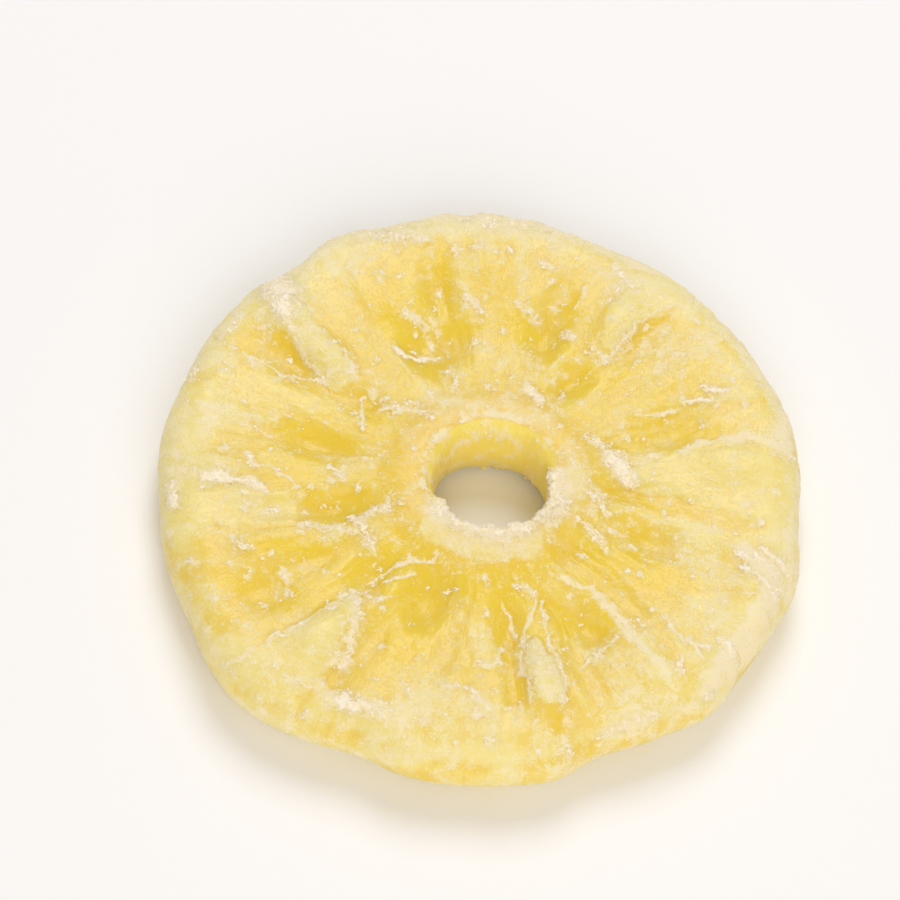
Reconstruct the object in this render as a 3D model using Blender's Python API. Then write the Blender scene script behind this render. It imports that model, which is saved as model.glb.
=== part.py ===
"""A candied pineapple ring: one slice across the fruit with its core cut out.

The slice lies flat. Its flesh is a closed cross-section turned once round the core hole and then
shaped by the fruit: a lumpy rim, a raised core band, seams between the fruitlets that run outwards
from the core, seed pits, and a few raised flaps of dried flesh.
"""
import math

import bmesh
import bpy
from mathutils import Matrix, Vector

MM = 0.001

# Driving dimensions, in millimetres until build_ring turns them into metres.
RIM_RADIUS = 35.55         # mean radius of the outer edge
HOLE_RADIUS = 5.85         # mean radius of the hole where the core was
THICKNESS = 8.2            # flesh between the two cut faces
RIM_ROUNDING = 3.5         # how far in from the edge the cut faces start to round over
HOLE_ROUNDING = 0.9        # the same at the hole
EDGE_FULLNESS = 0.85       # 1 makes the outer edge half round, less makes it squarer
RIM_CENTRE = (-1.1, 0.8)  # middle of the rim, seen from the middle of the hole
HOLE_CENTRE = (1.1, -0.95)  # middle of the hole, seen from the part's origin

COLUMNS = 140              # steps once round the ring
FACE_ROWS = 15             # steps from the hole to the edge across the upper face
BASE_ROWS = 8              # the same across the underside
EDGE_ROWS = 8              # steps over the rounded outer edge
WALL_LEVELS = (0.1, 0.36, 0.64, 0.9)  # heights of the hole wall's rows, as shares of the thickness

# Lobes and flats of the rim: azimuth in degrees, height in mm, half width in degrees.
RIM_LOBES = (
    (20, 0.3, 15), (50, -0.3, 14), (72, -0.55, 14), (97, 0.45, 17), (122, 0.6, 9),
    (134, -0.6, 7), (165, -0.3, 10), (191, -0.35, 10), (230, 1.6, 19), (254, -0.7, 8),
    (298, -1.5, 10), (308, -0.7, 9), (319, 0.55, 9), (347, 0.65, 11), (1, -0.5, 9),
)

# Lobes of the hole's edge, given the same way.
HOLE_LOBES = ((3, 0.35, 40), (92, -0.45, 45), (150, 0.2, 25), (185, 0.3, 30), (270, -0.4, 42),
              (318, 0.2, 20))

# Seams between fruitlets: azimuth in degrees, inner and outer radius and depth in mm.
SEAMS = (
    (2, 11, 21, 0.5), (28, 13, 31, 0.55), (46, 15, 33, 0.35), (78, 15, 30, 0.55),
    (109, 14, 31, 0.6), (130, 16, 33, 0.35), (153, 16, 34, 0.6), (173, 13, 33, 0.5),
    (196, 11, 31, 0.45), (215, 15, 35, 0.5), (243, 13, 33, 0.5), (262, 13, 28, 0.4),
    (281, 12, 31, 0.6), (299, 12, 34, 0.5), (320, 10, 27, 0.45), (343, 12, 30, 0.5),
)
SEAM_HALF_WIDTH = 2.1

# Seed pits and sunken flesh: azimuth, radius, half length outwards, half width across, depth.
PITS = (
    (115, 18.6, 4.4, 5.4, 1.5), (109, 25.0, 5.6, 2.6, 1.0), (78, 20.6, 6.0, 2.8, 1.3),
    (62, 15.6, 3.4, 2.6, 0.9), (53, 25.0, 5.6, 3.4, 0.9), (25, 20.5, 5.6, 2.8, 0.8),
    (3, 14.4, 4.4, 2.3, 0.9), (319, 11.8, 3.4, 2.8, 0.9), (344, 18.4, 5.4, 3.4, 1.0),
    (305, 20.0, 5.4, 3.4, 1.2), (281, 18.4, 5.6, 2.4, 1.2), (250, 16.0, 5.4, 4.4, 1.5),
    (229, 17.6, 4.0, 3.0, 1.0), (197, 17.2, 5.4, 3.0, 1.3), (173, 19.8, 6.4, 2.6, 1.2),
    (152, 26.4, 6.4, 2.8, 1.4), (150, 17.2, 3.2, 2.4, 0.7), (216, 28.0, 5.4, 3.8, 1.0),
    (241, 28.6, 4.4, 2.8, 0.9), (292, 31.2, 3.6, 2.6, 0.9),
)

# Raised flaps of dried flesh, given the same way, with a height in place of the depth.
FLAPS = (
    (287, 25.0, 5.4, 2.7, 1.2), (233, 26.6, 6.4, 3.0, 1.0), (143, 31.0, 3.8, 3.6, 1.1),
    (145, 24.0, 6.4, 3.2, 0.9), (62, 25.0, 6.0, 2.8, 0.8), (184, 29.0, 5.4, 2.8, 0.6),
    (205, 25.0, 6.0, 3.0, 0.5), (340, 31.0, 3.8, 5.8, 0.7), (313, 28.0, 5.4, 3.4, 0.5),
    (12, 27.0, 6.0, 3.4, 0.5), (95, 29.0, 5.0, 4.4, 0.5), (266, 27.0, 5.5, 3.4, 0.5),
)

CORE_BAND_RADIUS = 9.2     # middle of the raised band round the hole
CORE_BAND_HALF_WIDTH = 3.2
CORE_BAND_HEIGHT = 0.55
SINK_RADIUS = 18.0         # the face dries hollow between core and rim
SINK_HALF_WIDTH = 10.0
SINK_DEPTH = 0.45
BASE_SEAM_DEPTH = 0.5      # the underside's seams, which leave flat lands between them
BASE_HOLLOW = 0.4          # how far the flesh round the hole stays clear of the surface

FLESH_COLOUR = (0.83, 0.62, 0.17, 1.0)
FLESH_ROUGHNESS = 0.45


def smooth_bump(distance):
    """One in the middle, zero from a distance of one, with a smooth foot."""
    if distance >= 1.0:
        return 0.0
    return (1.0 - distance * distance) ** 2


def degrees_apart(first, second):
    """Smallest angle between two azimuths, with its sign."""
    return (first - second + 180.0) % 360.0 - 180.0


def lobed_radius(mean, lobes, azimuth):
    """A mean radius with the lobes that lie near this azimuth."""
    lift = sum(height * smooth_bump(abs(degrees_apart(azimuth, at)) / half_width)
               for at, height, half_width in lobes)
    return mean + lift


def oval_form(form, azimuth, radius):
    """Height of one oval form, longest along the fibres, at a point of the face."""
    at, middle, half_length, half_width, height = form
    turn = math.radians(degrees_apart(azimuth, at))
    along = (radius * math.cos(turn) - middle) / half_length
    across = radius * math.sin(turn) / half_width
    return height * smooth_bump(math.hypot(along, across))


def seam_depth(seam, azimuth, radius):
    """Depth of one seam, which runs outwards and fades at both ends."""
    at, start, end, depth = seam
    turn = math.radians(degrees_apart(azimuth, at))
    if abs(turn) > math.pi / 4:
        return 0.0
    across = abs(radius * math.sin(turn)) / SEAM_HALF_WIDTH
    middle = (start + end) / 2
    along = abs(radius - middle) / (end - middle)
    return depth * smooth_bump(across) * smooth_bump(along) ** 0.5


def face_height(azimuth, radius):
    """Height of the upper face above the surface that the ring lies on."""
    height = THICKNESS
    core_distance = abs(radius - CORE_BAND_RADIUS) / CORE_BAND_HALF_WIDTH
    height += CORE_BAND_HEIGHT * smooth_bump(core_distance)
    height -= SINK_DEPTH * smooth_bump(abs(radius - SINK_RADIUS) / SINK_HALF_WIDTH)
    seam = max(seam_depth(seam, azimuth, radius) for seam in SEAMS)
    pit = max(oval_form(pit, azimuth, radius) for pit in PITS)
    height -= max(seam, pit)
    height += max(oval_form(flap, azimuth, radius) for flap in FLAPS)
    return height


def base_height(azimuth, radius):
    """Height of the underside: flat lands, shallow seams and a hollow at the hole."""
    seam = max(seam_depth(seam, azimuth, radius) for seam in SEAMS)
    hollow = smooth_bump(max(0.0, radius - HOLE_RADIUS) / (2 * CORE_BAND_HALF_WIDTH))
    return max(BASE_SEAM_DEPTH * seam, BASE_HOLLOW * hollow)


def cross_section():
    """The closed outline of the cut flesh, as shares of its width and its thickness."""
    width = RIM_RADIUS - HOLE_RADIUS
    start = HOLE_ROUNDING / width
    end = 1.0 - RIM_ROUNDING / width
    outline = []
    for row in range(FACE_ROWS + 1):
        outline.append((start + (end - start) * row / FACE_ROWS, 1.0))
    for row in range(1, EDGE_ROWS):
        angle = math.pi * (0.5 - row / EDGE_ROWS)
        out = math.cos(angle) ** EDGE_FULLNESS
        up = math.copysign(abs(math.sin(angle)) ** EDGE_FULLNESS, angle)
        outline.append((end + (1.0 - end) * out, 0.5 + 0.5 * up))
    for row in range(BASE_ROWS + 1):
        outline.append((end - (end - start) * row / BASE_ROWS, 0.0))
    for level in WALL_LEVELS:
        outline.append((start * (2 * level - 1) ** 4, level))
    return outline


def turned_blank():
    """The cross-section turned once round the hole, as a closed mesh of mean sizes."""
    mesh = bmesh.new()
    width = RIM_RADIUS - HOLE_RADIUS
    corners = [mesh.verts.new((HOLE_RADIUS + across * width, 0.0, level * THICKNESS))
               for across, level in cross_section()]
    sides = [mesh.edges.new((corner, corners[index - 1])) for index, corner in enumerate(corners)]
    bmesh.ops.spin(mesh, geom=corners + sides, cent=(0, 0, 0), axis=(0, 0, 1), dvec=(0, 0, 0),
                   angle=2 * math.pi, steps=COLUMNS, use_merge=True, use_duplicate=False)
    bmesh.ops.recalc_face_normals(mesh, faces=mesh.faces)
    return mesh


def shaped_point(point):
    """Where a point of the blank lies on the real ring, seen from the middle of the hole."""
    azimuth = math.degrees(math.atan2(point.y, point.x))
    across = (math.hypot(point.x, point.y) - HOLE_RADIUS) / (RIM_RADIUS - HOLE_RADIUS)
    level = point.z / THICKNESS
    hole = lobed_radius(HOLE_RADIUS, HOLE_LOBES, azimuth)
    rim = lobed_radius(RIM_RADIUS, RIM_LOBES, azimuth)
    reach = hole + across * (rim - hole)
    x = reach * math.cos(math.radians(azimuth)) + across * RIM_CENTRE[0]
    y = reach * math.sin(math.radians(azimuth)) + across * RIM_CENTRE[1]
    azimuth = math.degrees(math.atan2(y, x))
    radius = math.hypot(x, y)
    low = base_height(azimuth, radius)
    high = face_height(azimuth, radius)
    return Vector((x, y, low + level * (high - low)))


def flesh_material():
    """Moist candied flesh, a pale saturated yellow."""
    material = bpy.data.materials.new("candied_flesh")
    material.use_nodes = True
    shader = material.node_tree.nodes["Principled BSDF"]
    shader.inputs["Base Color"].default_value = FLESH_COLOUR
    shader.inputs["Roughness"].default_value = FLESH_ROUGHNESS
    shader.inputs["Metallic"].default_value = 0.0
    return material


def build_ring():
    """The whole slice, lying flat with its origin in the middle of its footprint."""
    mesh = turned_blank()
    for vertex in mesh.verts:
        vertex.co = shaped_point(vertex.co)
    place = Matrix.Translation((HOLE_CENTRE[0] * MM, HOLE_CENTRE[1] * MM, 0.0))
    bmesh.ops.transform(mesh, matrix=place @ Matrix.Scale(MM, 4), verts=mesh.verts)
    bmesh.ops.triangulate(mesh, faces=mesh.faces)
    data = bpy.data.meshes.new("pineapple_ring")
    mesh.to_mesh(data)
    mesh.free()
    data.shade_smooth()
    data.materials.append(flesh_material())
    ring = bpy.data.objects.new("pineapple_ring", data)
    bpy.context.collection.objects.link(ring)
    return ring


def main():
    for old in list(bpy.data.objects):
        bpy.data.objects.remove(old, do_unlink=True)
    build_ring()


main()
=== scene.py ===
import math

import bmesh
import bpy
import numpy as np
from mathutils import Euler, Matrix, Vector, noise
from mathutils.bvhtree import BVHTree


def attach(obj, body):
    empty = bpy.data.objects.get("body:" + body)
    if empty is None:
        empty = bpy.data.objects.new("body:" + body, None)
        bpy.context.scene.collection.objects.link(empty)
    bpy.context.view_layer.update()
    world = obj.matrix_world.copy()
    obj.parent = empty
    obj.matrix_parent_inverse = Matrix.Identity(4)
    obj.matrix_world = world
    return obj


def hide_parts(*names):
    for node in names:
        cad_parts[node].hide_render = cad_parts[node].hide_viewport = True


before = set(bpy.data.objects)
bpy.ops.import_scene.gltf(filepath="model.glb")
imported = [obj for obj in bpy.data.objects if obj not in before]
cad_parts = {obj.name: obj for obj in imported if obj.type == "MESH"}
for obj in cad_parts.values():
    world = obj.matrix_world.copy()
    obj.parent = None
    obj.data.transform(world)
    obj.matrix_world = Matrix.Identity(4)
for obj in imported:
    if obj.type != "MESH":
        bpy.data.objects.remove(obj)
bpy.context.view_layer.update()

mm = 0.001
core = (1.1, -0.4)  # where the fibres of the flesh meet, in mm


def hexColour(code):
    parts = [int(code[i:i + 2], 16) / 255 for i in (0, 2, 4)]
    return tuple(p / 12.92 if p <= 0.04045 else ((p + 0.055) / 1.055) ** 2.4 for p in parts) + (1.0,)


def addNode(tree, kind, links=None, **settings):
    made = tree.nodes.new(kind)
    for name, value in settings.items():
        setattr(made, name, value)
    for name, value in (links or {}).items():
        if isinstance(value, bpy.types.NodeSocket):
            tree.links.new(value, made.inputs[name])
        else:
            made.inputs[name].default_value = value
    return made


def smoothStep(low, high, value):
    t = np.clip((value - low) / (high - low), 0.0, 1.0)
    return t * t * (3 - 2 * t)


flesh = {
    "columns": 640,
    "faceRows": 96,
    "edgeRows": 22,
    "baseRows": 17,
    "cornerRows": 3,
    "wallRows": 10,
    "edgeIn": 3.3,    # mm from the rim where the face starts to round over
    "cornerIn": 1.2,  # the same at the hole
    "smoothing": 18,
}


def cadSurface():
    shape = bmesh.new()
    shape.from_mesh(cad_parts["pineapple_ring"].data)
    bmesh.ops.remove_doubles(shape, verts=shape.verts, dist=1e-6)
    tree = BVHTree.FromBMesh(shape)
    shape.free()
    return tree


def fleshRows():
    rows = []
    for k in range(flesh["faceRows"] + 1):
        rows.append(("face", k / flesh["faceRows"]))
    for k in range(1, flesh["edgeRows"]):
        rows.append(("edge", k / flesh["edgeRows"]))
    for k in range(flesh["baseRows"] + 1):
        rows.append(("base", k / flesh["baseRows"]))
    for k in range(1, flesh["cornerRows"] + 1):
        rows.append(("lowCorner", k / flesh["cornerRows"]))
    for k in range(1, flesh["wallRows"]):
        rows.append(("wall", k / flesh["wallRows"]))
    for k in range(flesh["cornerRows"]):
        rows.append(("highCorner", k / flesh["cornerRows"]))
    return rows


def rayFor(row, hole, rim, top):
    kind, share = row
    inner = hole + flesh["cornerIn"]
    outer = rim - flesh["edgeIn"]
    middle = 4.1
    high = top - flesh["cornerIn"]
    if kind == "face":
        return inner + (outer - inner) * share, middle, 0.0, 1.0
    if kind == "edge":
        turn = math.pi * (0.5 - share)
        return outer, middle, math.cos(turn), math.sin(turn)
    if kind == "base":
        return outer + (inner - outer) * share, middle, 0.0, -1.0
    if kind == "lowCorner":
        turn = math.pi * (-0.5 - 0.5 * share)
        return inner, flesh["cornerIn"], math.cos(turn), math.sin(turn)
    if kind == "wall":
        return inner, flesh["cornerIn"] + (high - flesh["cornerIn"]) * share, -1.0, 0.0
    turn = math.pi * (1.0 - 0.5 * share)
    return inner, high, math.cos(turn), math.sin(turn)


def fleshBlank():
    surface = cadSurface()
    rows = fleshRows()
    shape = bmesh.new()
    rowLayer = shape.verts.layers.int.new("row")
    loop = []
    for index, row in enumerate(rows):
        startRadius, startHeight, outwards, upwards = rayFor(row, 6.0, 35.5, 8.2)
        corner = shape.verts.new(((startRadius + outwards * 2) * mm, 0, (startHeight + upwards * 4) * mm))
        corner[rowLayer] = index
        loop.append(corner)
    sides = [shape.edges.new((corner, loop[i - 1])) for i, corner in enumerate(loop)]
    bmesh.ops.spin(shape, geom=loop + sides, cent=(0, 0, 0), axis=(0, 0, 1), dvec=(0, 0, 0),
                   angle=2 * math.pi, steps=flesh["columns"], use_merge=True, use_duplicate=False)
    bmesh.ops.recalc_face_normals(shape, faces=shape.faces)
    centre = Vector((core[0] * mm, core[1] * mm, 0))
    columns = {}
    for vert in shape.verts:
        azimuth = math.atan2(vert.co.y, vert.co.x)
        out = Vector((math.cos(azimuth), math.sin(azimuth), 0))
        key = round(azimuth * flesh["columns"] / (2 * math.pi)) % flesh["columns"]
        if key not in columns:
            lift = Vector((0, 0, 4.1 * mm))
            hole = (surface.ray_cast(centre + lift, out)[0] - centre - lift).length / mm
            rim = (surface.ray_cast(centre + lift + out * 0.08, -out)[0] - centre - lift).length / mm
            above = centre + lift + out * (hole + flesh["cornerIn"]) * mm
            top = surface.ray_cast(above, Vector((0, 0, 1)))[0].z / mm
            columns[key] = (hole, rim, top)
        radius, height, outwards, upwards = rayFor(rows[vert[rowLayer]], *columns[key])
        start = centre + out * radius * mm + Vector((0, 0, height * mm))
        vert.co = surface.ray_cast(start, out * outwards + Vector((0, 0, upwards)))[0]
    for step in range(flesh["smoothing"]):
        keep = 0.0 if step < 4 else 8.8 * mm
        verts = [v for v in shape.verts if (v.co.xy - centre.xy).length > keep]
        bmesh.ops.smooth_vert(shape, verts=verts, factor=0.5,
                              use_axis_x=True, use_axis_y=True, use_axis_z=True)
    mesh = bpy.data.meshes.new("flesh")
    shape.to_mesh(mesh)
    shape.free()
    return mesh


# Forms of the face, each a few points (x, y, half width) in mm from the middle of the core.
ridges = [  # thick white sugar, set along a raised line
    [(-26.6, 22.6, 1.5), (-25.7, 20.6, 1.9), (-24.9, 17.8, 1.4)],
    [(-31.0, -4.5, .5), (-29.4, -4.0, .7), (-27.6, -4.5, .3), (-25.6, -4.2, .6), (-24.2, -4.8, .45)],
    [(-34.4, -5.2, .6), (-34.1, -7.4, .7)],
    [(-12.4, 15.4, .25), (-11.0, 14.7, .4), (-9.6, 14.4, .15), (-8.6, 15.0, .3), (-7.4, 15.3, .2)],
    [(-13.8, -29.3, .5), (-12.3, -29.7, .55), (-10.4, -29.5, .35)],
    [(12.2, 4.6, .4), (13.4, 3.4, .8), (14.6, 1.9, .6)],
    [(2.6, 12.2, .4), (4.2, 10.2, .5)],
    [(27.2, -6.2, .35), (29.0, -6.9, .3)],
    [(29.3, -5.0, .2), (31.0, -5.8, .25), (32.6, -7.4, .3)],
    [(27.6, -8.0, .2), (30.2, -9.4, .3), (31.9, -10.9, .3)],
    [(26.3, -17.2, .6), (27.4, -18.4, .6)],
    [(25.4, -23.4, .6), (25.0, -25.4, .6)],
    [(-15.0, 8.6, .15), (-14.9, 6.4, .2), (-14.6, 4.2, .28)],
    [(21.6, 14.4, .15), (23.4, 14.2, .3), (24.8, 14.6, .2)],
    [(20.2, 12.2, .2), (22.9, 13.2, .25)],
]
laces = [  # crumbly patches of sugar, thin and broken
    [(-11.6, 20.0, .5), (-10.2, 19.2, .55), (-8.8, 18.6, .4)],
    [(-4.9, 23.0, .7), (-3.6, 21.4, .8)],
    [(6.2, 19.9, .5), (7.2, 19.0, .4)],
    [(9.6, 17.4, .6), (11.4, 17.0, .7)],
    [(11.2, 29.4, .4), (12.4, 27.6, .5), (13.4, 26.6, .3)],
    [(2.6, 28.6, .7), (4.4, 28.0, .6)],
    [(1.8, 22.8, .6), (2.8, 21.0, .6)],
    [(9.8, 6.4, .6), (12.0, 5.4, .8), (13.6, 3.4, 1.3), (15.2, 1.6, .8)],
    [(28.4, -5.6, .5), (30.6, -7.6, .7), (31.8, -9.4, .6), (31.4, -12.4, .5)],
    [(14.2, -29.3, .5), (17.0, -27.9, .8), (20.0, -26.6, .7)],
    [(-0.2, -26.4, .4), (1.0, -27.2, .5), (2.2, -28.4, .4)],
    [(-14.4, -28.9, .8), (-11.4, -29.6, 1.0), (-8.4, -30.4, .8)],
    [(-19.0, -27.4, .4), (-16.8, -28.2, .4)],
    [(-13.8, -7.4, .7), (-12.4, -5.6, .6), (-10.8, -5.4, .5)],
    [(-13.4, -7.6, .6), (-12.6, -9.4, .7), (-12.0, -10.8, .5)],
    [(-19.6, -8.8, .5), (-16.4, -8.4, .6), (-13.6, -8.6, .5)],
    [(-26.8, -11.4, .6), (-25.4, -12.6, .6)],
    [(-31.8, -14.5, .4), (-30.4, -14.8, .4)],
    [(-21.4, -14.4, .45), (-20.6, -15.4, .45)],
    [(-13.4, -15.8, .5), (-11.4, -16.4, .6), (-9.8, -16.2, .4)],
    [(-13.0, -17.6, .5), (-12.7, -20.4, .4), (-13.2, -23.4, .5), (-13.8, -25.0, .4)],
    [(3.6, -13.2, .4), (5.6, -13.8, .5)],
    [(-7.4, 6.4, .4), (-10.0, 7.4, .5), (-12.8, 7.2, .4)],
    [(10.4, -4.8, .5), (12.0, -6.2, .5), (13.0, -7.6, .4)],
    [(10.6, -31.0, .5), (11.8, -32.4, .5), (12.4, -33.2, .3)],
    [(26.0, -19.8, .5), (26.4, -22.4, .5), (25.6, -25.0, .6)],
    [(-18.4, 29.6, .7), (-14.0, 30.4, .8), (-9.8, 29.6, .6)],
    [(-6.6, 33.0, .6), (-1.0, 33.6, .6), (4.0, 33.2, .4)],
    [(-34.4, 8.4, .5), (-33.6, 11.2, .4)],
    [(-31.4, 13.6, .4), (-29.6, 17.4, .5)],
    [(7.4, -1.0, .6), (8.0, -3.4, .7), (7.0, -5.4, .5)],
    [(10.2, -0.6, .4), (12.0, -1.6, .5), (12.8, -3.2, .4)],
    [(30.4, 8.6, .5), (33.6, 6.6, .5)],
    [(-26.6, -0.6, .5), (-26.2, -2.2, .4)],
    [(-17.8, -0.8, .4), (-16.0, -2.2, .5)],
    [(-17.6, 13.6, .4), (-16.2, 11.0, .5)],
    [(-24.4, -7.6, .4), (-22.6, -6.8, .4)],
]
creases = [  # fine pale lines
    [(-32.2, 14.2, .2), (-28.0, 11.6, .25), (-24.6, 10.4, .25), (-19.4, 9.9, .2)],
    [(-24.7, -1.5, .2), (-22.5, -2.7, .25), (-20.9, -3.9, .2)],
    [(15.0, 10.2, .2), (17.6, 10.4, .25), (19.8, 11.2, .2)],
    [(15.2, -18.0, .25), (13.2, -20.0, .2), (11.4, -22.2, .2)],
    [(2.6, -15.2, .2), (3.6, -17.2, .25), (4.3, -19.2, .25)],
    [(5.9, -14.8, .2), (5.6, -17.0, .25), (5.0, -19.4, .3), (5.3, -23.0, .3), (6.6, -26.8, .3)],
    [(6.8, -14.6, .2), (7.2, -17.2, .25), (8.2, -20.4, .3), (10.1, -24.2, .35), (9.8, -27.0, .3)],
    [(2.9, -20.4, .3), (2.8, -23.0, .35)],
    [(19.8, -14.8, .25), (21.2, -16.6, .3), (22.6, -17.8, .35), (24.4, -18.2, .4)],
    [(22.6, -17.4, .3), (24.0, -19.6, .35)],
    [(-10.8, -13.6, .2), (-9.6, -12.4, .25), (-7.6, -11.6, .25), (-5.4, -11.4, .2)],
    [(-10.8, -14.4, .2), (-8.6, -13.3, .2), (-7.0, -13.0, .2)],
    [(-13.6, -16.2, .3), (-18.5, -21.0, .25), (-23.5, -25.0, .25), (-27.4, -26.6, .2)],
    [(7.2, 23.0, .2), (8.4, 26.0, .25)],
    [(11.8, 18.0, .25), (14.2, 21.8, .2), (17.0, 24.4, .2), (20.0, 25.0, .2)],
    [(-24.6, 17.0, .2), (-22.4, 13.2, .2), (-19.4, 10.2, .25)],
]
bands = [  # soft pale streaks, with how white they are
    ([(8.6, -11.4, .3), (11.8, -12.2, .4), (14.2, -14.2, .6), (16.6, -17.4, .7), (20.8, -22.4, .5)], .85),
    ([(13.0, -1.4, .4), (16.2, -2.2, .5), (20.5, -3.0, .6), (25.5, -3.8, .6)], .50),
    ([(20.4, 6.4, .4), (25.0, 8.3, .5), (29.6, 8.8, .6), (33.2, 7.8, .5)], .80),
    ([(-31.8, 4.4, .5), (-24.7, 3.8, .5)], .50),
    ([(13.5, 27.4, 1.2), (20.0, 27.0, 1.4), (26.4, 22.2, 1.2), (31.4, 14.8, .9)], .50),
    ([(-21.4, 27.6, .9), (-14.0, 30.6, 1.1), (-4.0, 32.6, 1.1), (6.0, 32.2, .9)], .60),
    ([(-28.0, 20.0, .8), (-32.4, 12.8, .6)], .50),
    ([(-26.4, 22.2, 2.0), (-25.0, 18.2, 1.8)], 1.0),
    ([(24.6, -24.4, 1.2), (25.8, -21.4, .9), (26.9, -17.8, 1.3)], .95),
    ([(28.2, -6.0, 1.2), (30.6, -8.0, 2.0), (31.6, -11.2, 1.4)], .92),
    ([(14.6, -29.0, .8), (20.4, -26.4, .9)], .75),
    ([(8.0, 4.4, 1.0), (9.6, 0.4, 1.0), (8.6, -3.4, .8)], .50),
    ([(-5.6, 8.2, 1.0), (0.4, 9.2, 1.0), (5.4, 7.6, 1.0)], .42),
    ([(-13.4, -16.4, .6), (-12.9, -20.0, .5), (-13.6, -25.0, .6)], .75),
    ([(-15.0, -29.0, 1.0), (-8.0, -30.2, 1.2), (-4.6, -27.4, 1.0)], .60),
]
flaps = [  # pale tongues of dried flesh with a crisp edge: points, rise in mm, paleness, sugar
    ([(6.3, -20.2, 1.0), (7.2, -22.8, 1.7), (8.5, -25.6, 1.5)], .24, 1.0, .62),
    ([(-13.4, -17.2, .7), (-15.8, -21.0, 1.9), (-18.6, -25.0, 3.3), (-21.4, -27.6, 3.4)], .12, .95, .34),
    ([(-24.4, 18.6, 1.4), (-21.3, 14.2, 1.9), (-18.0, 10.9, 1.8)], .13, .95, .45),
    ([(11.3, 18.8, .8), (12.2, 21.8, 1.7), (15.2, 26.4, 2.3), (20.0, 27.4, 2.5), (25.6, 23.6, 2.1)],
     .12, .9, .36),
    ([(-33.2, -7.6, 2.8), (-27.0, -7.2, 2.5), (-22.4, -7.0, 1.9)], .14, .85, .2),
    ([(17.5, 2.4, 2.2), (24.0, 3.6, 4.2), (32.0, 2.6, 4.6)], .08, .85, .2),
    ([(16.0, -21.5, 2.6), (20.5, -23.6, 3.4)], .08, .65, .38),
    ([(-5.2, -7.6, 1.8), (0.0, -9.0, 2.0), (4.4, -8.2, 1.8)], .05, 1.0, .42),
    ([(0.6, -19.2, 1.2), (1.6, -22.4, 1.4)], .06, .8, .4),
    ([(-33.0, 7.4, 1.8), (-26.0, 7.2, 1.7), (-19.0, 6.8, 1.2)], .06, .7, .15),
]
pools = [  # sunken wet flesh without sugar, one also painted shade along a tongue's edge: points, depth in mm
    ([(-13.2, 18.6, 1.2), (-11.4, 16.6, 1.4), (-8.6, 13.4, 1.3), (-5.8, 14.6, .9)], .18),
    ([(-6.8, 18.6, 1.4), (-4.8, 18.8, 1.2)], .14),
    ([(-8.6, 28.8, 1.1), (-8.2, 25.0, 1.3), (-8.0, 21.4, 1.2)], .12),
    ([(0.8, 19.6, 1.2), (3.4, 18.8, 1.5), (5.4, 18.0, 1.0)], .14),
    ([(7.0, 24.4, .7), (6.4, 21.6, .7)], .10),
    ([(5.8, 12.2, .9), (8.2, 14.2, 1.0)], .14),
    # painted shade, partly: a thin sunk strip under the edge of the tongue beside it, painted deep yellow
    # for the shadow that edge casts
    ([(13.4, 19.2, .4), (15.2, 21.6, .4), (17.4, 23.4, .3)], .12),
    ([(11.0, 6.0, .6), (15.0, 6.2, .8), (18.5, 8.2, 1.3), (23.0, 9.0, 1.2)], .12),
    ([(10.8, .9, .5), (13.8, .3, .7), (16.8, -.4, .5)], .10),
    ([(11.5, -8.4, .9), (15.5, -9.6, 1.6), (20.5, -10.4, 1.5)], .08),
    ([(6.0, -8.4, .9), (8.8, -9.0, .8)], .10),
    ([(7.6, -15.0, .8), (9.8, -16.6, 1.7), (12.2, -17.8, 1.1)], .16),
    ([(3.2, -15.4, .5), (3.6, -18.4, .6)], .14),
    ([(3.9, -19.8, .45), (4.2, -23.0, .7), (5.0, -26.6, .8)], .22),
    ([(-6.2, -12.8, 2.0), (-5.8, -16.4, 2.4), (-6.6, -21.4, 1.8)], .15),
    ([(-10.4, -19.0, 1.4), (-8.0, -21.6, 1.2)], .08),
    ([(-12.2, -12.4, 1.2), (-14.2, -14.0, .9)], .12),
    ([(-19.2, -5.2, 1.0), (-16.6, -5.4, 1.7), (-14.2, -4.9, 1.4)], .16),
    ([(-22.8, 3.2, .9), (-18.8, 2.6, 1.6), (-15.8, 1.8, 1.1)], .12),
    ([(-25.2, 15.2, .5), (-22.8, 12.8, .8), (-20.4, 10.9, .4)], .18),
    ([(-15.5, 8.9, .5), (-13.6, 5.4, .5)], .10),
    ([(-27.5, -16.4, 1.2), (-22.6, -18.0, 1.6), (-19.2, -18.6, 1.2)], .08),
    ([(-23.4, -12.2, .8), (-19.6, -11.8, 1.2), (-17.2, -12.6, .9)], .12),
    ([(-14.4, -25.8, .7), (-13.6, -27.6, .8)], .12),
    ([(9.6, -28.8, .7), (10.2, -30.0, .5)], .12),
    ([(-9.6, -1.0, .9), (-10.2, -3.6, 1.0)], .06),
]
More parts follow.
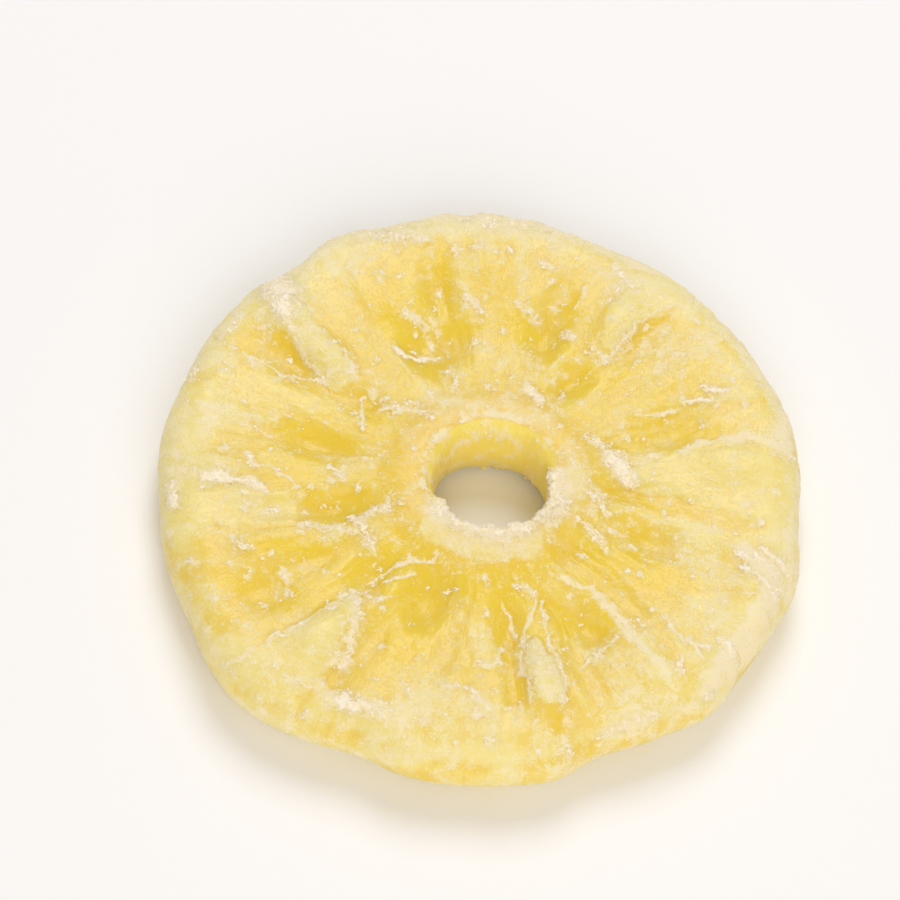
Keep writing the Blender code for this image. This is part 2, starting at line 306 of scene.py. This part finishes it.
tones = [  # wide differences in the flesh: x, y, radius, change in paleness
    (-27.5, -20.0, 4.5, -.45), (-14.0, -13.0, 5.0, -.15), (-9.0, 26.0, 5.0, -.10),
    (24.0, 4.0, 7.0, .25), (22.0, -13.0, 5.0, .12), (18.0, -22.0, 6.0, .25), (0.0, -31.0, 4.5, .20),
    (-4.0, -27.0, 4.0, .25), (10.0, -23.0, 4.0, .10), (-27.0, 7.0, 6.0, .10), (16.0, 24.0, 5.0, .20),
    (-28.5, 13.5, 3.0, -.35), (-13.0, 22.0, 4.0, -.25), (-12.0, 8.0, 2.0, -.25), (1.0, 8.0, 2.5, -.20),
    (-16.5, -18.0, 2.5, -.50), (-10.0, -15.5, 2.5, -.35), (2.0, -13.0, 3.5, -.40), (-4.0, -9.0, 4.0, -.15),
    (7.5, -5.0, 2.0, -.35), (17.0, -1.5, 2.5, -.30), (-33.0, -4.5, 2.0, -.20), (-24.0, 2.0, 3.0, -.20),
    (-20.0, -23.5, 3.0, -.15), (7.0, -20.0, 1.5, -.30), (-25.0, -14.0, 2.0, -.20), (16.0, -8.0, 3.0, -.20),
    (-25.5, 20.0, 3.0, .30), (-18.5, 19.0, 2.5, .30), (-7.5, 10.0, 2.5, .60), (-1.0, 15.0, 2.0, .35),
    (24.0, 18.0, 2.5, .35), (16.0, 5.0, 2.5, .45), (32.0, 5.0, 3.0, .30), (32.0, -2.0, 3.0, .35),
    (22.0, -5.5, 3.0, .50), (23.0, -13.0, 3.0, .40), (22.5, -25.0, 4.0, .45), (-16.0, -24.0, 2.0, .50),
    (-20.0, 4.0, 2.0, .25), (-15.0, 0.0, 3.0, .35), (-2.0, -16.5, 1.5, .45), (-10.0, -33.0, 3.0, .25),
    (0.0, -34.0, 3.0, .20), (28.0, -16.5, 3.0, .35), (-19.0, -13.0, 2.0, .20),
    (-34.0, 4.0, 4.0, .40), (-34.5, -5.0, 4.0, .40),
]


def strokeReach(points, x, y, wider=0.0):
    # how far each place lies from a stroke, in half widths of the stroke
    reach = np.full(len(x), 99.0)
    for (x0, y0, w0), (x1, y1, w1) in zip(points, points[1:]):
        dx, dy = x1 - x0, y1 - y0
        along = np.clip(((x - x0) * dx + (y - y0) * dy) / (dx * dx + dy * dy), 0, 1)
        width = w0 + (w1 - w0) * along + wider
        reach = np.minimum(reach, np.hypot(x - x0 - along * dx, y - y0 - along * dy) / width)
    return reach


def noiseField(x, y, z, octaves=1):
    if octaves == 1:
        return np.array([noise.noise(p) for p in zip(x, y, z)])
    return np.array([noise.fractal(p, 0.9, 2.0, octaves) for p in zip(x, y, z)])


def vertexArray(mesh, name, count=3):
    values = np.empty(len(mesh.vertices) * count, dtype=np.float32)
    mesh.vertices.foreach_get(name, values)
    return values.reshape(-1, count).astype(float)


def addLayer(mesh, name, values):
    layer = mesh.attributes.new(name, "FLOAT", "POINT")
    layer.data.foreach_set("value", np.clip(values, 0, 1).astype(np.float32))


def faceCoords(places, up):
    # mm from the core; the underside gets the same kinds of forms, turned and mirrored
    x = places[:, 0] / mm - core[0]
    y = places[:, 1] / mm - core[1]
    turn = math.radians(155)
    under = up < -0.35
    fx = np.where(under, -(x * math.cos(turn) + y * math.sin(turn)), x)
    fy = np.where(under, y * math.cos(turn) - x * math.sin(turn), y)
    return x, y, fx, fy, np.where(under, 40.0, 0.0)


def wander(fx, fy, side):
    lumps = noiseField(fx / 3.2, fy / 3.2, side, 3)
    lumpsAside = noiseField(fx / 3.2 + 30, fy / 3.2, side, 2)
    jx = fx + 0.40 * noiseField(fx / 0.9, fy / 0.9, side + 5, 2) + 0.3 * lumps
    jy = fy + 0.40 * noiseField(fx / 0.9, fy / 0.9, side + 15, 2) + 0.3 * lumpsAside
    return jx, jy, lumps, lumpsAside


def nearHole(x, y):
    # 1 on the near and right sides of the hole, where its rim is crusted
    return smoothStep(-0.1, 0.3, np.cos(np.arctan2(y, x) - math.radians(292)))


def shapeFlesh(mesh):
    places = vertexArray(mesh, "co")
    normals = vertexArray(mesh, "normal")
    up = normals[:, 2]
    x, y, fx, fy, side = faceCoords(places, up)
    z = places[:, 2] / mm
    radius = np.hypot(x, y)
    onFace = smoothStep(0.3, 0.75, np.abs(up))
    wall = (radius < 8.5) * smoothStep(0.75, 0.35, np.abs(up))

    angle = np.arctan2(fy, fx) + 0.10 * noiseField(fx / 7, fy / 7, side + 3)
    cosA, sinA = np.cos(angle), np.sin(angle)
    out = np.hypot(fx, fy)
    # fibres: noise that is long outwards and short around
    fine = noiseField(26 * cosA, 26 * sinA, out / 7 + side)
    broad = noiseField(8 * cosA, 8 * sinA, out / 12 + side, 2)
    vein = noiseField(13 * cosA, 13 * sinA, out / 5 + side + 9, 2)
    pebbles = noiseField(fx / 0.8, fy / 0.8, z / 0.8 + side, 2)
    patches = noiseField(fx / 5 + 20, fy / 5, z / 5 + side, 3)
    clumps = noiseField(fx / 1.7 + 50, fy / 1.7, z / 1.7 + side, 3)
    jx, jy, lumps, lumpsAside = wander(fx, fy, side)
    wx = jx + 0.5 * lumps
    wy = jy + 0.5 * lumpsAside

    fibreZone = smoothStep(9, 14, out) * (1 - 0.4 * smoothStep(28, 34, out))
    veins = np.clip(1 - np.abs(vein) / 0.06, 0, 1) * fibreZone
    relief = (0.05 * fine + 0.06 * broad) * fibreZone + 0.05 * lumps + 0.03 * pebbles + 0.04 * veins
    relief += (0.28 * patches + 0.16 * clumps) * smoothStep(32, 34.5, out)
    # pale: how milky the flesh itself is, plus painted light on the back rim and the hole's wall and
    # painted shade on the near side of the rim; sugar: how much loose white sits on it, plus painted light
    # on the back rim and the far edge of the hole
    pale = np.interp(out, [5.5, 8, 12, 18, 24, 29, 33, 36], [.34, .34, .26, .30, .38, .56, .78, 1.0])
    pale += 0.20 * patches + 0.24 * broad * fibreZone + 0.16 * fine * fibreZone
    sugar = np.interp(out, [5.5, 8, 11, 14, 20, 27, 32, 36], [.30, .30, .26, .20, .18, .22, .30, .30])
    sugar += 0.22 * patches + 0.24 * clumps + 0.18 * veins + 0.12 * fine * fibreZone
    azimuth = np.arctan2(y, x)
    onRim = smoothStep(28, 31, radius)
    # painted light, partly: the sloping back side of the rim gets more sugar and paler flesh, partly real
    # sugar and partly to lighten the shade that falls on that slope
    backRimSugarAndPaintedLight = smoothStep(-0.4, 0.3, np.cos(azimuth - math.radians(45)))
    backRimSugarAndPaintedLight *= smoothStep(0.985, 0.88, up) * smoothStep(-0.4, 0.8, up) * onRim
    sugar += 0.45 * backRimSugarAndPaintedLight
    pale += 0.25 * backRimSugarAndPaintedLight
    rimSide = smoothStep(0.85, 0.45, np.abs(up)) * onRim
    # painted shade, partly: the near side of the rim is painted a deeper, wetter yellow, partly its own
    # translucent colour and partly to take back the light of the front lamp
    frontSideWetAndPaintedShade = smoothStep(0.1, 0.8, np.cos(azimuth - math.radians(255))) * rimSide
    pale += (0.38 * patches - 0.10) * rimSide - 0.16 * frontSideWetAndPaintedShade
    sugar += 0.30 * clumps * rimSide
    for toneX, toneY, spread, change in tones:
        share = np.exp(-((jx - toneX) ** 2 + (jy - toneY) ** 2) / spread ** 2) * onFace
        pale += change * share
        sugar += 0.35 * change * share

    for points, depth in pools:
        reach = strokeReach(points, wx, wy) + 0.35 * clumps + 0.45 * fine + 0.3 * broad
        share = smoothStep(2.0, 0.0, reach) * onFace * min(1, 0.3 + depth / 0.2)
        relief -= 0.85 * depth * share
        pale -= (pale + 0.05) * 0.95 * share
        sugar -= (sugar - 0.06) * 0.8 * share
    for points, rise, milk, white in flaps:
        share = smoothStep(1.2, 0.85, strokeReach(points, jx, jy) + 0.15 * clumps) * onFace
        relief += rise * share
        pale += (milk - pale) * 0.8 * share
        sugar += (white + 0.15 * clumps - sugar) * 0.75 * share
    for points, white in bands:
        share = smoothStep(1.8, 0.1, strokeReach(points, wx, wy) + 0.4 * clumps) * onFace
        sugar = np.maximum(sugar, (white + 0.2 * clumps) * share)
        pale += 0.3 * share
    for points in creases:
        share = smoothStep(1.5, 0.2, strokeReach(points, jx, jy) + 0.3 * clumps) * onFace
        relief += 0.05 * share
        sugar = np.maximum(sugar, 0.8 * share)
    crust = np.zeros(len(x))
    for points in laces:
        share = smoothStep(1.8, 0.1, strokeReach(points, jx, jy) + 0.8 * clumps) * onFace
        sugar = np.maximum(sugar, 0.70 * share)
        crust = np.maximum(crust, 0.66 * share)
    flakes = smoothStep(0.42, 0.62, noiseField(fx / 1.5 + 70, fy / 1.5, side, 3)) * onFace
    flakes *= smoothStep(0.06, 0.2, sugar)
    sugar = np.maximum(sugar, 0.7 * flakes)
    crust = np.maximum(crust, 0.62 * flakes)
    for points in ridges:
        share = smoothStep(1.9, 0.2, strokeReach(points, jx, jy) + 0.6 * clumps) * onFace
        crust = np.maximum(crust, share)
    # crumbly sugar round the hole, thickest on the near and right sides
    near = nearHole(x, y)
    high = smoothStep(6.0, 7.2, z)
    lip = smoothStep(1.5, 0.3, np.abs(radius - 6.3)) * high
    crust = np.maximum(crust, lip * near * (0.95 + 0.4 * clumps))
    cream = smoothStep(4.4, 1.0, radius - 6.0 - 0.8 * clumps)
    sugar = np.maximum(sugar, cream * high * near * (0.92 + 0.3 * clumps))
    pale += 0.5 * smoothStep(5.5, 1.5, radius - 6.0 - clumps) * high * near
    far = (1 - near) * high
    # a soft white line round the far edge of the hole: sugar, and partly a painted highlight where the
    # rounded edge catches the light
    edge = smoothStep(0.7, 0.1, np.abs(radius - 7.5 - 0.3 * clumps)) * far
    sugar = np.maximum(sugar, edge * (0.62 + 0.7 * clumps))
    # painted light: on the far side the hole's wall paint reaches up over the rounding
    wall = np.maximum(wall, smoothStep(7.2, 6.9, radius) * far)
    teeth = smoothStep(1.3, 0.4, z) * (radius < 6.6)
    crust = np.maximum(crust, teeth * (0.75 + 0.6 * clumps))
    relief += crust * (0.08 + 0.14 * pebbles)
    relief += lip * near * np.clip(clumps + 0.5 * pebbles, -0.3, 0.6) * 0.6
    sugar = np.maximum(sugar, crust)
    sugar += (0.20 + 0.7 * clumps - sugar) * wall * (1 - teeth)
    # painted light, partly: the wall is also painted paler, to make up for light it misses down in the
    # hole
    pale += (0.50 + 0.9 * clumps + 0.4 * broad - pale) * wall
    relief += wall * (0.06 * broad + 0.05 * fine + 0.12 * lumps)
    corner = smoothStep(0.1, 0.55, up) * smoothStep(0.98, 0.75, up) * (radius < 8.5)
    relief += (0.42 * near - 0.10 * (1 - near)) * corner

    # the underside only sinks in, so that the ring still rests on its lands
    below = np.minimum(relief - 0.35, -0.02) * smoothStep(0.2, 0.9, -up)
    relief = relief * smoothStep(-0.3, 0.1, up) * (1 - 0.4 * smoothStep(0.55, 0.2, np.abs(up))) + below
    places += normals * (relief * mm)[:, None]
    # ragged teeth of sugar that hang into the hole at its foot
    inwards = teeth * np.clip(0.2 + clumps + 0.8 * pebbles, 0, 0.9) * 1.1 * mm
    places[:, 0] -= inwards * x / radius
    places[:, 1] -= inwards * y / radius
    high = np.maximum(places[:, 2] / mm - 8.9, 0)
    places[:, 2] -= (high - 0.35 * np.tanh(high / 0.35)) * mm
    places[:, 2] = np.maximum(places[:, 2], 0.02 * mm)
    mesh.vertices.foreach_set("co", places.ravel())
    addLayer(mesh, "pale", pale)
    addLayer(mesh, "sugar", sugar)
    addLayer(mesh, "crust", crust)
    mesh.update()


# Candied pineapple flesh, cut and sugared: translucent yellow where it is wet, milky lemon
# where it has dried, and a thin crumbly veil of white where sugar has set on it.
fleshLook = {
    "wet": "F4D648",
    "moist": "F3D767",
    "milky": "F8E69A",
    "core": "F7D282",
    # painted light: the hole's wall is given a brighter yellow than the flesh, standing in for light it
    # misses down in the hole
    "wall": "FFE872",
    "veil": "FFEFC9",
    "depth": 4.0,     # mm that light travels under the skin
    "fibre": 70,      # fibres in a radian
    "grain": 0.35,    # mm
    "clump": 1.1,     # mm
    "lace": 0.8,      # mm
}


def blend(tree, share, low, high):
    mixed = addNode(tree, "ShaderNodeMix", {0: share}, data_type="RGBA", clamp_factor=True)
    for slot, colour in ((6, low), (7, high)):
        if isinstance(colour, str):
            mixed.inputs[slot].default_value = hexColour(colour)
        else:
            tree.links.new(colour, mixed.inputs[slot])
    return mixed.outputs[2]


def fleshMaterial():
    material = bpy.data.materials.new("candiedFlesh")
    material.use_nodes = True
    tree = material.node_tree
    shader = tree.nodes["Principled BSDF"]

    def maths(operation, *values):
        return addNode(tree, "ShaderNodeMath", dict(enumerate(values)), operation=operation).outputs[0]

    def ramp(value, low, high):
        return addNode(tree, "ShaderNodeMapRange", {"Value": value, "From Min": low, "From Max": high},
                       interpolation_type="SMOOTHSTEP").outputs["Result"]

    def cloud(vector, scale, detail):
        made = addNode(tree, "ShaderNodeTexNoise", {"Vector": vector, "Scale": scale, "Detail": detail,
                                                    "Roughness": 0.6})
        return maths("SUBTRACT", made.outputs["Fac"], 0.5)

    coords = addNode(tree, "ShaderNodeTexCoord").outputs["Object"]
    pale = addNode(tree, "ShaderNodeAttribute", attribute_name="pale").outputs["Fac"]
    sugar = addNode(tree, "ShaderNodeAttribute", attribute_name="sugar").outputs["Fac"]

    # fibres that run out from the core
    fromCore = addNode(tree, "ShaderNodeVectorMath", {0: coords, 1: (core[0] * mm, core[1] * mm, 0)},
                       operation="SUBTRACT").outputs[0]
    flat = addNode(tree, "ShaderNodeVectorMath", {0: fromCore, 1: (1, 1, 0)}, operation="MULTIPLY")
    length = addNode(tree, "ShaderNodeVectorMath", {0: flat.outputs[0]}, operation="LENGTH")
    around = addNode(tree, "ShaderNodeVectorMath", {0: flat.outputs[0]}, operation="NORMALIZE")
    spread = addNode(tree, "ShaderNodeVectorMath", {0: around.outputs[0], "Scale": fleshLook["fibre"]},
                     operation="SCALE")
    along = addNode(tree, "ShaderNodeCombineXYZ",
                    {"Z": maths("MULTIPLY", length.outputs["Value"], 1 / (2.6 * mm))})
    fibreSpace = addNode(tree, "ShaderNodeVectorMath", {0: spread.outputs[0], 1: along.outputs[0]},
                         operation="ADD").outputs[0]
    fibres = cloud(fibreSpace, 1.0, 2.0)
    grain = cloud(coords, 1 / (fleshLook["grain"] * mm), 3.0)
    clumps = cloud(coords, 1 / (fleshLook["clump"] * mm), 3.0)

    tone = maths("MULTIPLY_ADD", fibres, 0.5, pale)
    tone = maths("MULTIPLY_ADD", clumps, 0.35, tone)
    tone = maths("MULTIPLY_ADD", grain, 0.28, tone)
    colour = blend(tree, ramp(tone, 0.0, 0.45), fleshLook["wet"], fleshLook["moist"])
    colour = blend(tree, ramp(tone, 0.4, 1.0), colour, fleshLook["milky"])
    lace = maths("ABSOLUTE", cloud(coords, 1 / (fleshLook["lace"] * mm), 2.0))
    colour = blend(tree, maths("MULTIPLY", ramp(length.outputs["Value"], 13 * mm, 8 * mm), 0.4),
                   colour, fleshLook["core"])
    # painted light: the hole's wall and the rounding above it take the brighter wall yellow, making up for
    # the light they miss in the hole
    inHole = ramp(length.outputs["Value"], 7.4 * mm, 6.9 * mm)
    colour = blend(tree, maths("MULTIPLY", inHole, 0.85), colour, fleshLook["wall"])
    film = ramp(maths("MULTIPLY_ADD", clumps, 1.4, sugar), 0.1, 1.0)
    cover = maths("MULTIPLY_ADD", grain, 2.0, sugar)
    cover = maths("MULTIPLY_ADD", clumps, 0.8, cover)
    cover = maths("MULTIPLY_ADD", lace, -1.6, cover)
    veil = ramp(cover, 0.15, 0.6)
    density = maths("MULTIPLY_ADD", film, 0.42, maths("MULTIPLY", veil, 0.45))
    colour = blend(tree, density, colour, fleshLook["veil"])
    tree.links.new(colour, shader.inputs["Base Color"])
    rough = maths("MULTIPLY_ADD", veil, 0.35, 0.28)
    tree.links.new(rough, shader.inputs["Roughness"])
    height = maths("MULTIPLY_ADD", fibres, 0.7, maths("MULTIPLY_ADD", veil, 0.5, grain))
    bump = addNode(tree, "ShaderNodeBump", {"Height": height, "Strength": 0.44, "Distance": 0.1 * mm})
    tree.links.new(bump.outputs["Normal"], shader.inputs["Normal"])
    glow = maths("MULTIPLY_ADD", density, -0.5, maths("MULTIPLY_ADD", inHole, -0.45, 0.7))
    tree.links.new(maths("MAXIMUM", glow, 0.1), shader.inputs["Subsurface Weight"])
    shader.inputs["Subsurface Radius"].default_value = (1.0, 0.95, 0.14)
    shader.inputs["Subsurface Scale"].default_value = fleshLook["depth"] * mm
    shader.inputs["IOR"].default_value = 1.42
    return material


def makePiece(name, mesh, material):
    mesh.materials.clear()
    mesh.materials.append(material)
    piece = bpy.data.objects.new(name, mesh)
    bpy.context.scene.collection.objects.link(piece)
    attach(piece, "root")
    return piece


fleshMesh = fleshBlank()
shapeFlesh(fleshMesh)
fleshMesh.shade_smooth()
fleshPiece = makePiece("ring_flesh", fleshMesh, fleshMaterial())
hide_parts("pineapple_ring")
print("flesh:", len(fleshMesh.polygons), "faces")


crustLook = {
    "name": "sugar_crust",
    "least": 0.1,       # amount below which there is none
    "cuts": 3,
    "amount": 1.20,
    "strands": 0.28,
    "grains": 0.26,
    "bare": 0.78,
    "height": 0.14,     # mm
    "reach": (-0.10, 0.13),
    "strand": 0.8,      # mm
    "grain": 0.32,      # mm
    "thin": "FBE8B4",
    "colour": "FFF7E6",
    "roughness": 0.55,
}
laceLook = {
    "name": "sugar_lace",
    "least": 0.15,
    "cuts": 2,
    "amount": 1.15,
    "strands": 0.55,
    "grains": 0.40,
    "bare": 1.0,
    "height": 0.10,
    "reach": (-0.08, 0.08),
    "strand": 0.7,
    "grain": 0.28,
    "thin": "FBE8B4",
    "colour": "FFF6E2",
    "roughness": 0.55,
}
grains = {  # single crystals
    "count": 9000,
    "size": (0.04, 0.10),  # mm, half width
    "flat": 0.6,           # how much of their height is lost
    "colour": "FFF4DA",
    "roughness": 0.3,
}
crumbs = {  # crystals caked together
    "count": 800,
    "size": (0.09, 0.22),  # mm, half width
    "flat": 0.3,
    "colour": "FFF5E0",
    "roughness": 0.5,
}
chance = np.random.default_rng(11)


def crustAt(places, up, wider):
    x, y, fx, fy, side = faceCoords(places, up)
    z = places[:, 2] / mm
    jx, jy, lumps, lumpsAside = wander(fx, fy, side)
    ragged = noiseField(fx / 1.7 + 50, fy / 1.7, side, 3)
    grit = noiseField(fx / 0.5, fy / 0.5, z / 0.5 + side, 2)
    amount = np.zeros(len(x))
    for points in ridges:
        reach = strokeReach(points, jx, jy, wider) + 0.6 * ragged + 0.4 * grit
        amount = np.maximum(amount, smoothStep(1.6, 0.3, reach))
    amount *= smoothStep(0.2, 0.6, np.abs(up))
    radius = np.hypot(x, y)
    outer = 7.6 + 1.2 * ragged + 0.6 * grit + wider
    lip = smoothStep(0.4, -0.4, radius - outer) * smoothStep(5.6 - wider, 6.8 - wider, z) * nearHole(x, y)
    teeth = smoothStep(1.2 + wider, 0.4, z) * (radius < 6.6) * (0.8 + 0.8 * ragged + wider)
    return np.maximum(amount, np.maximum(lip, teeth))


def laceAt(places, up, wider):
    x, y, fx, fy, side = faceCoords(places, up)
    jx, jy, lumps, lumpsAside = wander(fx, fy, side)
    ragged = noiseField(fx / 1.7 + 50, fy / 1.7, side, 3)
    grit = noiseField(fx / 0.5, fy / 0.5, side, 2)
    amount = np.zeros(len(x))
    for points in laces:
        reach = strokeReach(points, jx, jy, wider) + 0.9 * ragged + 0.5 * grit
        amount = np.maximum(amount, 0.85 * smoothStep(2.0, 0.2, reach))
    for points in creases:
        reach = strokeReach(points, jx, jy, wider) + 0.3 * ragged + 0.25 * grit
        amount = np.maximum(amount, 0.9 * smoothStep(1.6, 0.2, reach))
    flakes = noiseField(fx / 1.5 + 70, fy / 1.5, side, 3) + 0.1 * grit + 0.3 * wider
    amount = np.maximum(amount, 0.85 * smoothStep(0.42, 0.60, flakes))
    return amount * smoothStep(0.2, 0.6, np.abs(up))


def sugarSheet(source, look, amountAt):
    # the sugared parts of the flesh again, finer, risen into a crumbly crust
    coarse = amountAt(vertexArray(source, "co"), vertexArray(source, "normal")[:, 2], 0.2)
    shape = bmesh.new()
    shape.from_mesh(source)
    shape.faces.ensure_lookup_table()
    bare = [f for f in shape.faces if max(coarse[v.index] for v in f.verts) < look["least"]]
    bmesh.ops.delete(shape, geom=bare, context="FACES")
    bmesh.ops.subdivide_edges(shape, edges=shape.edges, cuts=look["cuts"], use_grid_fill=True)
    mesh = bpy.data.meshes.new(look["name"])
    shape.to_mesh(mesh)
    shape.free()
    places = vertexArray(mesh, "co")
    normals = vertexArray(mesh, "normal")
    amount = amountAt(places, normals[:, 2], 0.0)
    x, y, z = places.T / mm
    bend = noiseField(x / 1.1, y / 1.1, z / 1.1)
    strand, grain = look["strand"], look["grain"]
    strands = np.abs(noiseField(x / strand + bend, y / strand - bend, z / strand, 2))
    strands = np.maximum(1 - strands / 0.14, -1.0)
    fine = np.maximum(1 - np.abs(noiseField(x / grain, y / grain, z / grain, 2)) / 0.3, -1.0)
    height = look["amount"] * amount + look["strands"] * strands + look["grains"] * fine - look["bare"]
    height = np.clip(look["height"] * np.where(amount > 0.02, height, -1.0), *look["reach"])
    places += normals * (height * mm)[:, None]
    places[:, 2] = np.clip(places[:, 2], 0.02 * mm, 9.45 * mm)
    mesh.vertices.foreach_set("co", places.ravel())
    addLayer(mesh, "thick", height / (0.6 * look["reach"][1]))
    # what lies under the flesh is cut away
    shape = bmesh.new()
    shape.from_mesh(mesh)
    sunk = [f for f in shape.faces if max(height[v.index] for v in f.verts) < -0.03]
    bmesh.ops.delete(shape, geom=sunk, context="FACES")
    shape.to_mesh(mesh)
    shape.free()
    mesh.shade_smooth()
    mesh.update()
    return mesh


def pickPlaces(mesh, count, weightOf):
    corners = np.empty(len(mesh.loops), dtype=np.int32)
    mesh.loops.foreach_get("vertex_index", corners)
    corners = corners.reshape(-1, 4)
    places = vertexArray(mesh, "co")
    normals = vertexArray(mesh, "normal")
    areas = np.empty(len(mesh.polygons), dtype=np.float32)
    mesh.polygons.foreach_get("area", areas)
    values = {}
    for name in ("sugar", "crust", "pale"):
        layer = np.empty(len(mesh.vertices), dtype=np.float32)
        mesh.attributes[name].data.foreach_get("value", layer)
        values[name] = layer[corners].mean(axis=1)
    middles = places[corners].mean(axis=1) / mm
    weights = areas * weightOf(values, middles, normals[corners].mean(axis=1))
    picked = chance.choice(len(weights), count, p=weights / weights.sum())
    u, v = chance.random((2, count, 1))
    a, b, c, d = (places[corners[picked, i]] for i in range(4))
    spots = (a * (1 - u) + b * u) * (1 - v) + (d * (1 - u) + c * u) * v
    return spots, normals[corners[picked, 0]]


def grainWeight(values, middles, normals):
    amount = np.clip(values["sugar"] - 0.12, 0, 1) ** 2 + 0.003
    amount = amount * np.where(normals[:, 2] < -0.3, 0.35, 1.0)
    return amount * (middles[:, 2] < 9.35)


def crumbWeight(values, middles, normals):
    radius = np.hypot(middles[:, 0] - core[0], middles[:, 1] - core[1])
    amount = values["crust"] ** 2 + 0.004 + 1.5 * (radius < 6.7) * (middles[:, 2] < 1.1)
    return amount * (middles[:, 2] < 9.2) * (normals[:, 2] > -0.4)


def scatter(name, settings, shape, places, normals, sink):
    corners = np.array([v.co for v in shape.verts])
    sides = np.array([[v.index for v in f.verts] for f in shape.faces])
    count = len(places)
    low, high = settings["size"]
    sizes = low + (high - low) * chance.random((count, 1, 1)) ** 2
    turns = np.array([Euler(angles).to_matrix() for angles in chance.random((count, 3)) * 6.28])
    stretch = 0.7 + 0.6 * chance.random((count, 1, 3))
    if len(corners) > 8:
        stretch = stretch * (1 + 0.5 * (chance.random((count, len(corners), 1)) - 0.5))
    made = np.einsum("nij,nkj->nki", turns, corners[None] * stretch) * sizes * mm
    lying = np.einsum("nki,ni->nk", made, normals)[:, :, None] * normals[:, None, :]
    made -= settings["flat"] * lying
    made += (places + normals * sizes[:, 0] * (1 - sink) * mm)[:, None]
    made[:, :, 2] = np.clip(made[:, :, 2], 0.02 * mm, 9.5 * mm)
    offsets = np.arange(count)[:, None, None] * len(corners)
    mesh = bpy.data.meshes.new(name)
    faces = (sides[None] + offsets).reshape(-1, sides.shape[1])
    mesh.from_pydata(made.reshape(-1, 3).tolist(), [], faces.tolist())
    return mesh


def sugarMaterial(name, settings):
    material = bpy.data.materials.new(name)
    material.use_nodes = True
    shader = material.node_tree.nodes["Principled BSDF"]
    shader.inputs["Base Color"].default_value = hexColour(settings["colour"])
    if "thin" in settings:
        tree = material.node_tree
        thick = addNode(tree, "ShaderNodeAttribute", attribute_name="thick").outputs["Fac"]
        tree.links.new(blend(tree, thick, settings["thin"], settings["colour"]),
                       shader.inputs["Base Color"])
    shader.inputs["Roughness"].default_value = settings["roughness"]
    shader.inputs["Specular IOR Level"].default_value = 0.4
    return material


crustMesh = sugarSheet(fleshMesh, crustLook, crustAt)
makePiece("sugar_crust", crustMesh, sugarMaterial("sugarCrust", crustLook))
print("crust:", len(crustMesh.polygons), "faces")

laceMesh = sugarSheet(fleshMesh, laceLook, laceAt)
makePiece("sugar_lace", laceMesh, sugarMaterial("sugarLace", laceLook))
print("lace:", len(laceMesh.polygons), "faces")

crystal = bmesh.new()
bmesh.ops.create_cube(crystal, size=1.6)
spots, outward = pickPlaces(fleshMesh, grains["count"], grainWeight)
grainMesh = scatter("grains", grains, crystal, spots, outward, 0.8)
makePiece("sugar_grains", grainMesh, sugarMaterial("sugarCrystal", grains))
print("grains:", len(grainMesh.polygons), "faces")

crumb = bmesh.new()
bmesh.ops.create_icosphere(crumb, subdivisions=1, radius=1.0)
spots, outward = pickPlaces(fleshMesh, crumbs["count"], crumbWeight)
crumbMesh = scatter("crumbs", crumbs, crumb, spots, outward, 0.8)
makePiece("sugar_crumbs", crumbMesh, sugarMaterial("sugarCrumb", crumbs))
print("crumbs:", len(crumbMesh.polygons), "faces")


stage = {
    "floorSize": 3.0,
    "floorColour": "FEFEFF",
    "elevation": 58.6,
    "distance": 430,   # mm
    "roll": 6.5,
    "aside": (3.57, 2.33),  # mm that the view lies left of and above the ring's middle
    "topHeight": 8.2,
    "lens": 100,
    "sensor": 22.75,
}


def makeFloor():
    shape = bmesh.new()
    bmesh.ops.create_grid(shape, x_segments=1, y_segments=1, size=stage["floorSize"] / 2)
    mesh = bpy.data.meshes.new("floor")
    shape.to_mesh(mesh)
    shape.free()
    floor = bpy.data.objects.new("floor", mesh)
    bpy.context.scene.collection.objects.link(floor)
    paint = bpy.data.materials.new("mattPaint")
    paint.use_nodes = True
    shader = paint.node_tree.nodes["Principled BSDF"]
    shader.inputs["Base Color"].default_value = hexColour(stage["floorColour"])
    shader.inputs["Roughness"].default_value = 0.9
    shader.inputs["Specular IOR Level"].default_value = 0.1
    mesh.materials.append(paint)


def makeCamera():
    lens = bpy.data.cameras.new("camera")
    lens.lens = stage["lens"]
    lens.sensor_width = stage["sensor"]
    camera = bpy.data.objects.new("camera", lens)
    bpy.context.scene.collection.objects.link(camera)
    tilt = math.radians(90 - stage["elevation"])
    turn = Matrix.Rotation(tilt, 3, "X") @ Matrix.Rotation(math.radians(stage["roll"]), 3, "Z")
    back = turn @ Vector((0, 0, 1))
    aside = turn @ Vector((-stage["aside"][0], stage["aside"][1], 0))
    camera.matrix_world = (Matrix.Translation((Vector((0, 0, stage["topHeight"])) + aside
                           + back * stage["distance"]) * mm) @ turn.to_4x4())
    bpy.context.scene.camera = camera


def addArea(name, place, size, power, colour):
    light = bpy.data.lights.new(name, "AREA")
    light.shape = "DISK"
    light.size = size
    light.energy = power
    light.color = hexColour(colour)[:3]
    lamp = bpy.data.objects.new(name, light)
    lamp.location = place
    lamp.rotation_euler = (-Vector(place)).to_track_quat("-Z", "Y").to_euler()
    bpy.context.scene.collection.objects.link(lamp)


makeFloor()
makeCamera()
addArea("backSoftbox", (0.0, 0.55, 0.75), 0.5, 3.9, "EEF3FF")
addArea("frontSoftbox", (0.14, -0.63, 0.50), 0.7, 3.1, "FFFBF6")
world = bpy.data.worlds.new("studio")
world.use_nodes = True
world.node_tree.nodes["Background"].inputs["Color"].default_value = hexColour("FFF5E4")
world.node_tree.nodes["Background"].inputs["Strength"].default_value = 0.435
bpy.context.scene.world = world
bpy.context.scene.view_settings.view_transform = "Standard"
